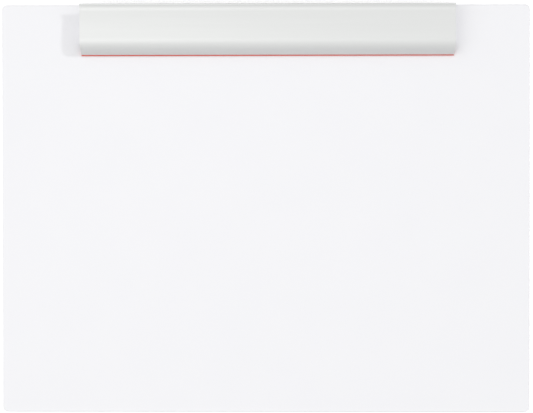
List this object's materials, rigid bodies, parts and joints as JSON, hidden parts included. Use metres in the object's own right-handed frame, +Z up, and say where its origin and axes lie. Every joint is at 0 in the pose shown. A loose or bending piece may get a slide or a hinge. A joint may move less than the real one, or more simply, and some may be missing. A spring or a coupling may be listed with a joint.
{
  "type": "clipboard",
  "caption": "White plastic clipboard for large sheets in landscape, with a sprung aluminium rocker clamp bar and a red lip along its head.",
  "frame": {"origin": "middle of the board's underside, the face that lies on a table", "axes": "+X along the board's long side and the clamp, to the right for a reader; +Y away from the reader, towards the clamp at the head; +Z up out of the writing face"},
  "size_m": [0.44, 0.34, 0.0189],
  "materials": {
    "board_plastic": "white impact polystyrene with a fine satin grain",
    "bar_aluminium": "satin natural anodised extrusion",
    "rail_aluminium": "plain extruded",
    "lip_rubber": "red soft strip",
    "plug_plastic": "white moulded ABS",
    "rod_steel": "drawn stainless",
    "cap_steel": "bright zinc plated",
    "spring_steel": "spring wire",
    "rivet_aluminium": "plain"
  },
  "bodies": {
    "base": {"board": "board_plastic", "base_rail": "rail_aluminium", "end_plug_left": "plug_plastic", "end_plug_right": "plug_plastic", "hinge_rod": "rod_steel", "rod_cap_left": "cap_steel", "rod_cap_right": "cap_steel", "spring_1": "spring_steel", "spring_2": "spring_steel", "spring_3": "spring_steel", "spring_4": "spring_steel", "rivet_1": "rivet_aluminium", "rivet_2": "rivet_aluminium", "rivet_3": "rivet_aluminium", "rivet_4": "rivet_aluminium", "rivet_5": "rivet_aluminium"},
    "clamp": {"clamp_bar": "bar_aluminium", "lip_strip": "lip_rubber"}
  },
  "joints": [
    {"name": "clamp_hinge", "type": "hinge", "parent": "base", "child": "clamp", "pos_m": [0.0017, 0.151, 0.01], "axis": [-1, 0, 0], "range_deg": [0, 24], "stiffness_Nm_per_rad": 0.6, "springref_deg": -32.66, "deforming": ["spring_1", "spring_2", "spring_3", "spring_4"]}
  ]
}
